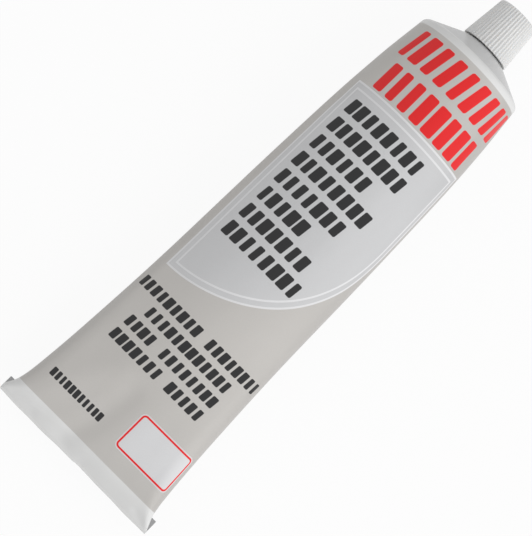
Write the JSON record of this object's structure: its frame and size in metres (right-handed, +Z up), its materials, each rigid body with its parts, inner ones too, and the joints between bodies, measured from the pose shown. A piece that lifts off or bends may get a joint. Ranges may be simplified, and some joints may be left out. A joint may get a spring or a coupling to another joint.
{
  "type": "squeeze tube of sealant",
  "caption": "Soft metal squeeze tube with a round shoulder, a flat double-folded tail and a small ribbed screw cap, lying on its back.",
  "frame": {"origin": "middle of the bounding box, on the surface that the tube lies on", "axes": "+X from the folded tail to the cap, +Y across the flat tail, +Z up out of the printed front"},
  "size_m": [0.1698, 0.055, 0.0348],
  "materials": {
    "lacquered_tube": "satin",
    "white_cap": "satin",
    "foam_liner": "matte"
  },
  "bodies": {
    "tube": {"tube": "lacquered_tube"},
    "liner": {"cap_liner": "foam_liner"},
    "cap": {"cap": "white_cap"}
  },
  "joints": [
    {"name": "cap_lift", "type": "slide", "parent": "tube", "child": "liner", "axis": [0.9984, 0, 0.0568], "range_m": [0, 0.00525]},
    {"name": "cap_turn", "type": "hinge", "parent": "liner", "child": "cap", "pos_m": [0.07136, 0, 0.01773], "axis": [0.9984, 0, 0.0568], "range_deg": [0, 1260.5]}
  ],
  "couplings": [
    {"joint": "cap_turn", "follows": "cap_lift", "rad_per_m": 4188.8}
  ]
}
